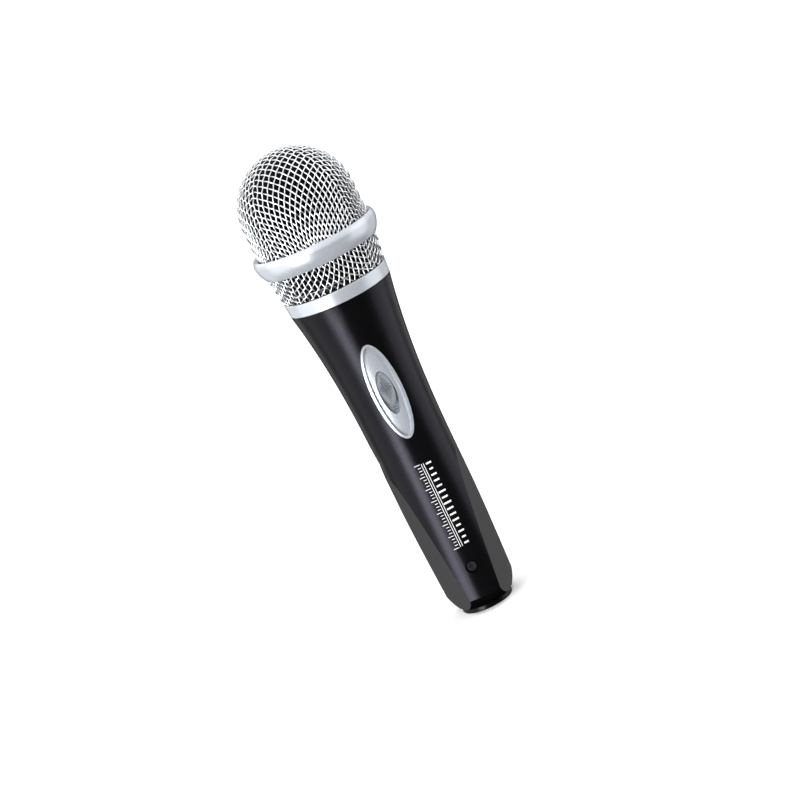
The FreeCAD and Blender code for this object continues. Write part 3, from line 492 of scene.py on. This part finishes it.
def cured_epoxy(settings):
    """Black epoxy adhesive, laid as a bead: smooth, slightly uneven and half gloss."""
    material = begin("cured_epoxy", Roughness=0.45, IOR=1.55)
    mottle(material, "0D0D0E", "171718", 1.0)
    roughen(material, 0.8, 0.03)
    return material


def nitrile_rubber(settings):
    """Moulded nitrile gasket: black, dull and slightly dusty."""
    material = begin("nitrile_rubber", Roughness=0.7, IOR=1.52)
    mottle(material, "151515", "232322", 1.0)
    roughen(material, 0.3, 0.01)
    return material


def silicone_rubber(settings):
    """Soft silicone capsule mount: dark grey with a low sheen."""
    material = begin("silicone_rubber", Roughness=0.6, IOR=1.43)
    mottle(material, "1E1E20", "2A2A2C", 1.5)
    roughen(material, 0.35, 0.01)
    return material


def moulded_abs(settings):
    """Black ABS of the capsule housing: even, with a soft gloss."""
    material = begin("moulded_abs", Roughness=0.4, IOR=1.53)
    mottle(material, "161617", "222224", 1.8)
    roughen(material, 0.2, 0.006)
    return material


def wool_felt(settings):
    """Pressed grey wool felt: matted fibres with a soft edge."""
    material = begin("wool_felt", Roughness=0.95, Sheen_Weight=0.5)
    mottle(material, "8A8883", "A5A39D", 0.3)
    roughen(material, 0.12, 0.06, 8.0)
    return material


def soft_iron(settings):
    """Turned soft iron yoke with zinc passivate: cool grey metal."""
    material = begin("soft_iron", Metallic=1.0, Roughness=0.38)
    mottle(material, "8E8F93", "A6A7AB", 0.9)
    roughen(material, 0.25, 0.005)
    return material


def nickelled_magnet(settings):
    """Sintered magnet with bright nickel plate: mirror-like with a little orange peel."""
    material = begin("nickelled_magnet", Metallic=1.0, Roughness=0.14)
    mottle(material, "B9B6AE", "CAC7C0", 1.6)
    roughen(material, 0.5, 0.004)
    return material


def enamelled_copper(settings):
    """Fine enamelled copper wire, wound: turns show as close rings."""
    material = begin("enamelled_copper", Metallic=0.9, Roughness=0.3, Coat_Weight=0.5, Coat_Roughness=0.1)
    place = add_node(material, "TexCoord")
    turns = add_node(material, "TexWave", {
        "Vector": place.outputs["Object"], "Scale": 1 / (0.8 * MM)}, bands_direction="Z")
    blend = add_node(material, "Mix", {0: turns.outputs["Fac"], 6: linear("7A3D1E"), 7: linear("B86A38")},
                     data_type="RGBA")
    bump = add_node(material, "Bump", {"Height": turns.outputs["Fac"], "Distance": 0.04 * MM})
    shade(material, Base_Color=blend.outputs[2], Normal=bump.outputs["Normal"])
    return material


def polyester_film(settings):
    """Thermoformed polyester film of the diaphragm: thin, glossy and straw-coloured."""
    material = begin("polyester_film", Roughness=0.16, IOR=1.58)
    mottle(material, "B3A472", "CDC08E", 3.0)
    roughen(material, 1.2, 0.01)
    return material


def woven_cloth(settings):
    """Fine black polyester dust cloth: threads drawn 0.6 mm apart, coarser than the real 0.1 mm."""
    material = begin("woven_cloth", Roughness=0.85, Sheen_Weight=0.3)
    place = add_node(material, "TexCoord")
    threads = [add_node(material, "TexWave", {
        "Vector": place.outputs["Object"], "Scale": 1 / (0.6 * TURN * MM / 2)}, bands_direction=way)
        for way in ("X", "Y")]
    weave = add_node(material, "Math", {0: threads[0].outputs["Fac"], 1: threads[1].outputs["Fac"]},
                     operation="MULTIPLY")
    blend = add_node(material, "Mix", {0: weave.outputs["Value"], 6: linear("0A0A0A"), 7: linear("262626")},
                     data_type="RGBA")
    bump = add_node(material, "Bump", {"Height": weave.outputs["Value"], "Distance": 0.05 * MM})
    shade(material, Base_Color=blend.outputs[2], Normal=bump.outputs["Normal"])
    return material


def solder_mask(settings):
    """Glass-epoxy board under green lacquer: glossy with the cloth just showing."""
    material = begin("solder_mask", Roughness=0.28, IOR=1.52)
    mottle(material, "0F4020", "1A5C30", 1.0)
    roughen(material, 0.4, 0.006)
    return material


def pvc_cover(name, dark, light):
    """Extruded PVC insulation of a lead: smooth and slightly soft in colour."""
    material = begin(name, Roughness=0.38, IOR=1.53)
    mottle(material, dark, light, 2.0)
    roughen(material, 0.3, 0.006)
    return material


def red_pvc(settings):
    """Red lead insulation."""
    return pvc_cover("red_pvc", "7E1210", "9C1A16")


def white_pvc(settings):
    """White lead insulation."""
    return pvc_cover("white_pvc", "D2D1CC", "E6E5E1")


def yellow_pvc(settings):
    """Yellow lead insulation."""
    return pvc_cover("yellow_pvc", "C49A12", "DDB52A")


def satin_sweep(settings):
    """Painted studio floor: off-white and flat, with a trace of roller texture."""
    material = begin("satin_sweep", Roughness=0.8, Specular_IOR_Level=0.1)
    mottle(material, settings.floor_dark, settings.floor_light, 60.0)
    roughen(material, 5.0, 0.05)
    return material


FINISH_OF_NODE = {
    "handle": enamelled_casting,
    "retaining_screw": phosphated_steel,
    "connector_insert": moulded_nylon,
    "contact_pin_1": silver_plate,
    "contact_pin_2": silver_plate,
    "contact_pin_3": silver_plate,
    "ground_tab": silver_plate,
    "switch_plate": pearl_enamel,
    "switch_slider": plated_pad_and_gap_shade,
    "switch_actuator": moulded_acetal,
    "switch_wiper": moulded_acetal,
    "switch_bracket": tinned_sheet,
    "bracket_screws": phosphated_steel,
    "switch_can": tinned_sheet,
    "switch_base": paper_phenolic,
    "switch_terminals": bare_brass,
    "neck_gasket": nitrile_rubber,
    "grille_collar": pearl_enamel,
    "grille_band": pearl_enamel,
    "shock_mount": silicone_rubber,
    "rear_chamber": moulded_abs,
    "felt_ring": wool_felt,
    "capsule_housing": moulded_abs,
    "magnet_yoke": soft_iron,
    "magnet": nickelled_magnet,
    "pole_piece": soft_iron,
    "voice_coil": enamelled_copper,
    "diaphragm_dome": polyester_film,
    "diaphragm_surround": polyester_film,
    "clamp_ring": moulded_abs,
    "resonator_cap": moulded_abs,
    "dust_screen": woven_cloth,
    "terminal_board": solder_mask,
    "solder_tags": bare_brass,
    "lead_capsule_to_switch": red_pvc,
    "lead_switch_to_pin": yellow_pvc,
    "lead_capsule_to_pin": white_pvc,
}
GRILLE_NODES = ("grille_collar", "grille_band", "neck_gasket")
HANDLE_NODES = ("handle", "retaining_screw")
SWITCH_NODES = tuple(name for name in FINISH_OF_NODE if "switch" in name and "lead" not in name)


def finish_nodes(names, settings):
    """Gives CAD nodes their finishes, one material for all that share it."""
    made = {}
    for name in names:
        maker = FINISH_OF_NODE[name]
        if maker not in made:
            made[maker] = maker(settings)
        paint(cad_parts[name], made[maker])


# Sizes and colours

def colour(name, description, code):
    """A colour that a user can change."""
    return bpy.props.FloatVectorProperty(name=name, description=description, default=linear(code),
                                         size=4, min=0, max=1, subtype="COLOR")


def size(name, description, millimetres):
    """A length that a user can change, kept in metres."""
    return bpy.props.FloatProperty(name=name, description=description, default=millimetres * MM,
                                   min=0, precision=5, unit="LENGTH")


class MicrophoneSettings(bpy.types.PropertyGroup):
    """Sizes and colours of the pieces and finishes."""

    wire_pitch: size("Wire pitch", "Distance between neighbouring wires of the grille", 2.3)
    wire_diameter: size("Wire diameter", "Thickness of the grille wire", 0.58)
    dome_touch: size("Dome opening", "Least width of an opening where the dome's sheet is drawn out", 1.65)
    basket_touch: size("Basket opening", "Least width of an opening in the basket below the band", 2.3)
    foam_cell: size("Foam cell", "Width of a cell in the foam", 0.7)
    foam_grain: size("Foam unevenness", "Depth by which the cut face of the foam wanders", 0.2)
    enamel_grain: size("Enamel grain", "Width of the grain in the black enamel", 0.3)
    mark_width: size("Mark width", "Stroke of the printed marks", 0.75)
    dot_step: size("Dot step", "Distance between the thumb pad's dots along a row", 0.72)
    dot_radius: size("Dot radius", "Radius of a dot on the thumb pad", 0.22)
    enamel_dark: colour("Enamel shade", "Darker tone of the handle's enamel", "0C0B0C")
    enamel_light: colour("Enamel tone", "Lighter tone of the handle's enamel", "121112")
    pearl_dark: colour("Pearl shade", "Darker tone of the silver rings", "A9ADB3")
    pearl_light: colour("Pearl tone", "Lighter tone of the silver rings", "BFC3C9")
    wire_dark: colour("Wire shade", "Darker tone of the grille wire", "D8DADC")
    wire_light: colour("Wire tone", "Lighter tone of the grille wire", "EDEEF0")
    floor_dark: colour("Floor shade", "Darker tone of the floor", "EFEFEF")
    floor_light: colour("Floor tone", "Lighter tone of the floor", "F4F4F4")


class CameraSettings(bpy.types.PropertyGroup):
    """Where the camera stands."""

    aim: bpy.props.FloatProperty(name="Aim", description="Height of the camera's target", default=0.095,
                                 unit="LENGTH")
    distance: bpy.props.FloatProperty(name="Distance", description="From the camera to its target",
                                      default=1.15, unit="LENGTH")
    elevation: bpy.props.FloatProperty(name="Elevation", description="Angle above the horizon",
                                       default=math.radians(12), subtype="ANGLE")
    roll: bpy.props.FloatProperty(name="Roll", description="Lean of the camera about its view",
                                  default=math.radians(25.75), subtype="ANGLE")
    lens: bpy.props.FloatProperty(name="Lens", description="Focal length", default=137.3, unit="CAMERA")
    shift: bpy.props.FloatVectorProperty(name="Shift", size=2, default=(0.0215, -0.0225),
                                         description="Offset of the picture, as a share of its width")


# Pieces

class MICROPHONE_OT_upper_mesh(bpy.types.Operator):
    """Weaves the wire dome above the band"""
    bl_idname = "microphone.upper_mesh"
    bl_label = "Upper mesh"

    def execute(self, context):
        settings = context.scene.microphone
        radius = settings.wire_diameter / 2
        wall = radius_of("upper_mesh") - 1.75 * radius
        level = top_of("upper_mesh") - 1.75 * radius - wall
        cup = (wall, 0.0, wall)
        foot = foot_of("upper_mesh") + radius - level
        wires = woven_wires(settings.wire_pitch, settings.dome_touch, 0.75 * radius, cup, foot, math.inf)
        turned = Matrix.Translation((0, 0, level)) @ Matrix.Rotation(math.radians(-45), 4, "Z")
        piece = new_piece("woven_dome", "grille",
                          wire_mesh("woven_dome", wires, radius, turned))
        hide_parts("upper_mesh")
        paint(piece, nickel_wire(settings))
        return {"FINISHED"}


class MICROPHONE_OT_lower_mesh(bpy.types.Operator):
    """Weaves the wire basket below the band"""
    bl_idname = "microphone.lower_mesh"
    bl_label = "Lower mesh"

    def execute(self, context):
        settings = context.scene.microphone
        radius = settings.wire_diameter / 2
        low, high = foot_of("lower_mesh"), foot_of("grille_band")
        narrow = radius_of("grille_collar") - 1.75 * radius
        wide = radius_of("lower_mesh") - 1.75 * radius
        widening = (wide - narrow) / (high - low)
        draw, rounding = 0.5 * MM, 8 * MM
        level = low - draw
        cup = (narrow - widening * draw, widening, rounding)
        foot = level - (top_of("lower_mesh") - radius)
        head = -draw - radius
        wires = woven_wires(settings.wire_pitch, settings.basket_touch, 0.75 * radius, cup, foot, head)
        flipped = Matrix.Translation((0, 0, level)) @ Matrix.Rotation(math.radians(-45), 4, "Z")
        flipped = flipped @ Matrix.Scale(-1, 4, UP)
        piece = new_piece("woven_basket", "grille",
                          wire_mesh("woven_basket", wires, radius, flipped))
        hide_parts("lower_mesh")
        paint(piece, nickel_wire(settings))
        return {"FINISHED"}


def revolve(outline, sides):
    """A closed skin from an outline of (radius, height) points, in metres."""
    shape = bmesh.new()
    rings = []
    for radius, height in outline:
        if radius == 0:
            rings.append([shape.verts.new((0, 0, height))] * sides)
        else:
            rings.append([shape.verts.new((radius * math.cos(TURN * k / sides),
                                           radius * math.sin(TURN * k / sides), height))
                          for k in range(sides)])
    for lower, upper in zip(rings, rings[1:] + rings[:1]):
        for k in range(sides):
            corners = [lower[k], lower[(k + 1) % sides], upper[(k + 1) % sides], upper[k]]
            corners = list(dict.fromkeys(corners))
            if len(corners) > 2:
                shape.faces.new(corners)
    return shape


class MICROPHONE_OT_foam_liner(bpy.types.Operator):
    """Makes the foam that lines both meshes"""
    bl_idname = "microphone.foam_liner"
    bl_label = "Foam liner"

    def execute(self, context):
        settings = context.scene.microphone
        outer = radius_of("foam_liner")
        level = top_of("foam_liner") - outer
        thick = 2.5 * MM
        waist = outer - 0.65 * MM
        low, band_low, band_high = foot_of("foam_liner"), foot_of("grille_band"), top_of("grille_band")
        foot = outer - 2.2 * MM
        skin = [(foot, low), (waist, band_low), (waist, band_high), (outer, band_high + outer - waist)]
        inner = outer - thick
        dome = 14
        arc = [(math.cos(math.pi / 2 * k / dome), math.sin(math.pi / 2 * k / dome)) for k in range(dome)]
        over = [(outer * c, level + outer * s) for c, s in arc] + [(0, level + outer)]
        under = [(inner * c, level + inner * s) for c, s in arc] + [(0, level + inner)]
        back = [(radius - thick, height) for radius, height in skin]
        outline = skin + over + under[::-1] + back[::-1]
        shape = revolve(outline, 96)
        bmesh.ops.subdivide_edges(shape, edges=[e for e in shape.edges if e.calc_length() > 1.2 * MM], cuts=2,
                                  use_grid_fill=True)
        bmesh.ops.recalc_face_normals(shape, faces=shape.faces)
        for vert in shape.verts:
            wander = (1 + noise.noise(vert.co / settings.foam_cell)) / 2
            vert.co -= vert.normal * settings.foam_grain * wander
        mesh = mesh_from("foam_sock", shape)
        piece = new_piece("foam_sock", "grille", mesh)
        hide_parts("foam_liner")
        paint(piece, open_cell_foam(settings))
        return {"FINISHED"}


class MICROPHONE_OT_bead(bpy.types.Operator):
    """Lays the black adhesive bead that bonds the basket to the collar's spigot"""
    bl_idname = "microphone.bead"
    bl_label = "Adhesive bead"

    def execute(self, context):
        settings = context.scene.microphone
        low, high = foot_of("lower_mesh"), top_of("grille_collar")
        spigot = radius_of("grille_collar") - COLLAR_STEP
        thick, lap = 0.45 * MM, 0.15 * MM
        outline = [(spigot, low), (spigot + thick, low), (spigot + thick / 4, high), (spigot, high + lap),
                   (spigot - thick, high + lap), (spigot - thick, high)]
        piece = new_piece("adhesive_bead", "grille",
                          mesh_from("adhesive_bead", revolve(outline, 96)))
        paint(piece, cured_epoxy(settings))
        return {"FINISHED"}


class MICROPHONE_OT_rings(bpy.types.Operator):
    """Finishes the band, the collar and the gasket"""
    bl_idname = "microphone.rings"
    bl_label = "Band and collar"

    def execute(self, context):
        finish_nodes(GRILLE_NODES, context.scene.microphone)
        return {"FINISHED"}


class MICROPHONE_OT_handle(bpy.types.Operator):
    """Finishes the handle and its screw"""
    bl_idname = "microphone.handle"
    bl_label = "Handle"

    def execute(self, context):
        finish_nodes(HANDLE_NODES, context.scene.microphone)
        return {"FINISHED"}


def stroke(shape, points, width, radius, thick):
    """Adds a printed stroke along (across, height) points to the round grip, as a thin closed solid."""
    sections = []
    for here, (x, z) in enumerate(points):
        before = Vector(points[max(here - 1, 0)])
        after = Vector(points[min(here + 1, len(points) - 1)])
        along = (after - before).normalized()
        aside = Vector((along.y, -along.x)) * width / 2
        section = []
        for side, depth in ((-1, 0), (1, 0), (1, thick), (-1, thick)):
            across = x + side * aside.x
            distance = radius - thick / 2 + depth
            section.append(shape.verts.new((distance * math.sin(across / radius),
                                            -distance * math.cos(across / radius), z + side * aside.y)))
        sections.append(section)
    for first, second in zip(sections, sections[1:]):
        for k in range(4):
            shape.faces.new([first[k], first[(k + 1) % 4], second[(k + 1) % 4], second[k]])
    shape.faces.new(sections[0][::-1])
    shape.faces.new(sections[-1])


class MICROPHONE_OT_marks(bpy.types.Operator):
    """Prints plain marks on the grip: a double rule, level bars and a row of ticks"""
    bl_idname = "microphone.marks"
    bl_label = "Printed marks"

    def execute(self, context):
        settings = context.scene.microphone
        radius = GRIP_RADIUS
        thick = 0.04 * MM
        width = settings.mark_width
        shape = bmesh.new()
        top, bottom = MARKS_TOP, MARKS_FOOT
        rule_steps = 12
        for across in (-0.5 * MM, 0.35 * MM):
            line = [(across, bottom + (top - bottom) * k / rule_steps) for k in range(rule_steps + 1)]
            stroke(shape, line, 0.28 * MM, radius, thick)
        bars = 15
        for k in range(bars):
            height = top - width - (top - bottom - 2 * width) * k / (bars - 1)
            long = (1.5 + 0.9 * math.sin(math.pi * (k + 0.5) / bars) ** 2 + 0.3 * math.cos(2.6 * k)) * MM
            middle = 2.3 * MM
            points = [(middle + long * (t / 3 - 0.5) * 1.2, height) for t in range(4)]
            stroke(shape, points, width, radius, thick)
        ticks = 29
        for k in range(ticks):
            height = top - (top - bottom) * k / (ticks - 1)
            long = (2.2 if k % 4 == 0 else 1.3) * MM
            points = [(-1.1 * MM - long * t / 2, height) for t in range(3)]
            stroke(shape, points, 0.3 * MM, radius, thick)
        piece = new_piece("printed_marks", "handle", mesh_from("printed_marks", shape, False))
        paint(piece, screen_ink(settings))
        return {"FINISHED"}


class MICROPHONE_OT_switch(bpy.types.Operator):
    """Finishes the switch plate, its slider and the switch under them"""
    bl_idname = "microphone.switch"
    bl_label = "Switch"

    def execute(self, context):
        finish_nodes(SWITCH_NODES, context.scene.microphone)
        return {"FINISHED"}


class MICROPHONE_OT_grip_dots(bpy.types.Operator):
    """Raises a diamond of low dots on the thumb pad, in staggered rows"""
    bl_idname = "microphone.grip_dots"
    bl_label = "Grip dots"

    def execute(self, context):
        settings = context.scene.microphone
        low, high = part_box("switch_slider")
        middle = Vector((0, low.y, (low.z + high.z) / 2))
        half_width, half_length = 2.3 * MM, 5.2 * MM
        step = settings.dot_step
        rows = int(half_length / (step / 2))
        columns = int(half_width / step) + 1
        shape = bmesh.new()
        for row in range(-rows, rows + 1):
            for column in range(-columns, columns + 1):
                across = (column + row % 2 / 2) * step
                along = row * step / 2
                if abs(across) / half_width + abs(along) / half_length > 1:
                    continue
                dot = Matrix.Translation(middle + Vector((across, 0, along)))
                dot = dot @ Matrix.Diagonal((1, 0.3, 1, 1))
                bmesh.ops.create_icosphere(shape, subdivisions=2, radius=settings.dot_radius, matrix=dot)
        piece = new_piece("grip_dots", "slider", mesh_from("grip_dots", shape))
        # the dots are coloured dark grey: painted shade of the pad's dimples
        paint(piece, dot_shade_and_ink(settings))
        return {"FINISHED"}


class MICROPHONE_OT_slider_mark(bpy.types.Operator):
    """Prints two plain bars on the slider, in the window under the thumb pad"""
    bl_idname = "microphone.slider_mark"
    bl_label = "Slider mark"

    def execute(self, context):
        settings = context.scene.microphone
        low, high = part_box("switch_slider")
        height = (low.z + high.z) / 2 - 8.6 * MM
        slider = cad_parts["switch_slider"]
        hit, place, _, _ = slider.ray_cast(Vector((0, low.y - 1 * MM, height)), Vector((0, 1, 0)))
        if not hit:
            raise RuntimeError("the slider has no face under its mark")
        shape = bmesh.new()
        for step in (-0.5 * MM, 0.5 * MM):
            bar = Matrix.Translation((0, place.y, height + step))
            bar = bar @ Matrix.Diagonal((1.7 * MM, 0.05 * MM, 0.4 * MM, 1))
            bmesh.ops.create_cube(shape, size=1, matrix=bar)
        piece = new_piece("slider_mark", "slider", mesh_from("slider_mark", shape, False))
        paint(piece, dot_shade_and_ink(settings))
        return {"FINISHED"}


class MICROPHONE_OT_inside(bpy.types.Operator):
    """Finishes the capsule, connector and leads inside"""
    bl_idname = "microphone.inside"
    bl_label = "Capsule and connector"

    def execute(self, context):
        shown = GRILLE_NODES + HANDLE_NODES + SWITCH_NODES
        finish_nodes([name for name in FINISH_OF_NODE if name not in shown], context.scene.microphone)
        return {"FINISHED"}


# Studio

def softbox(name, azimuth, elevation, distance, width, height, power):
    """A soft rectangular light aimed at the microphone. Azimuth 0 is in front, and 90 to its right."""
    light = bpy.data.lights.new(name, "AREA")
    light.shape = "RECTANGLE"
    light.size, light.size_y = width, height
    light.energy = power
    turn, rise = math.radians(azimuth), math.radians(elevation)
    out = Vector((math.sin(turn) * math.cos(rise), -math.cos(turn) * math.cos(rise), math.sin(rise)))
    lamp = bpy.data.objects.new(name, light)
    lamp.location = Vector((0, 0, 0.1)) + out * distance
    lamp.rotation_euler = out.to_track_quat("Z", "Y").to_euler()
    bpy.context.scene.collection.objects.link(lamp)


class MICROPHONE_OT_stage(bpy.types.Operator):
    """Sets up the floor, the lights and the camera"""
    bl_idname = "microphone.stage"
    bl_label = "Stage"

    def execute(self, context):
        settings = context.scene.microphone
        view = context.scene.microphone_camera
        shape = bmesh.new()
        bmesh.ops.create_grid(shape, x_segments=8, y_segments=8, size=20)
        floor = bpy.data.objects.new("floor", mesh_from("floor", shape, False))
        context.scene.collection.objects.link(floor)
        floor.visible_glossy = False  # keeps the front of the dark handle free of its reflection
        paint(floor, satin_sweep(settings))

        world = bpy.data.worlds.new("studio")
        world.use_nodes = True
        context.scene.world = world
        place = add_node(world, "TexCoord")
        tilt = add_node(world, "SeparateXYZ", {"Vector": place.outputs["Generated"]})
        glow = add_node(world, "MapRange", {"Value": tilt.outputs["Z"], "From Min": -0.1, "From Max": 0.45,
                                            "To Min": 0.0, "To Max": 1.4}, interpolation_type="SMOOTHSTEP")
        feed(world, world.node_tree.nodes["Background"], {"Color": (1, 1, 1, 1), "Strength": glow.outputs[0]})

        softbox("key", -38, -4, 1.1, 0.5, 1.3, 22)
        softbox("side", -82, -4, 1.1, 1.2, 1.3, 7)
        softbox("fill", 88, -4, 1.1, 1.0, 1.3, 8)
        softbox("left_rim", -138, -4, 1.1, 0.55, 1.3, 2)
        softbox("right_rim", 138, -4, 1.1, 0.55, 1.3, 2)

        camera = bpy.data.cameras.new("camera")
        camera.lens, camera.sensor_width = view.lens, 36
        camera.shift_x, camera.shift_y = view.shift
        aim = Vector((0, 0, view.aim))
        back = Vector((0, -math.cos(view.elevation), math.sin(view.elevation)))
        side = Vector((1, 0, 0))
        facing = Matrix((side, back.cross(side), back)).transposed() @ Matrix.Rotation(-view.roll, 3, "Z")
        stand = bpy.data.objects.new("camera", camera)
        stand.matrix_world = Matrix.Translation(aim + view.distance * back) @ facing.to_4x4()
        context.scene.collection.objects.link(stand)
        context.scene.camera = stand
        context.scene.view_settings.view_transform = "Standard"
        context.scene.view_settings.gamma = 0.8
        return {"FINISHED"}


PIECES = (
    MICROPHONE_OT_upper_mesh, MICROPHONE_OT_lower_mesh, MICROPHONE_OT_foam_liner, MICROPHONE_OT_bead,
    MICROPHONE_OT_rings, MICROPHONE_OT_handle, MICROPHONE_OT_marks, MICROPHONE_OT_switch,
    MICROPHONE_OT_grip_dots, MICROPHONE_OT_slider_mark, MICROPHONE_OT_inside, MICROPHONE_OT_stage,
)


class MICROPHONE_PT_pieces(bpy.types.Panel):
    """Lists the pieces, with the sizes and colours they use"""
    bl_idname = "MICROPHONE_PT_pieces"
    bl_label = "Microphone"
    bl_space_type = "VIEW_3D"
    bl_region_type = "UI"
    bl_category = "Microphone"

    def draw(self, context):
        for group in (context.scene.microphone, context.scene.microphone_camera):
            box = self.layout.box()
            for name in group.__annotations__:
                box.prop(group, name)
        for piece in PIECES:
            self.layout.operator(piece.bl_idname)


CLASSES = (MicrophoneSettings, CameraSettings, *PIECES, MICROPHONE_PT_pieces)


def register():
    """Makes the pieces, panel and settings known."""
    for kind in CLASSES:
        bpy.utils.register_class(kind)
    bpy.types.Scene.microphone = bpy.props.PointerProperty(type=MicrophoneSettings)
    bpy.types.Scene.microphone_camera = bpy.props.PointerProperty(type=CameraSettings)


def unregister():
    """Forgets them again."""
    del bpy.types.Scene.microphone_camera
    del bpy.types.Scene.microphone
    for kind in reversed(CLASSES):
        bpy.utils.unregister_class(kind)


def main():
    """Builds every piece in order."""
    register()
    for piece in PIECES:
        group, name = piece.bl_idname.split(".")
        getattr(getattr(bpy.ops, group), name)()


if __name__ == "__main__":
    main()
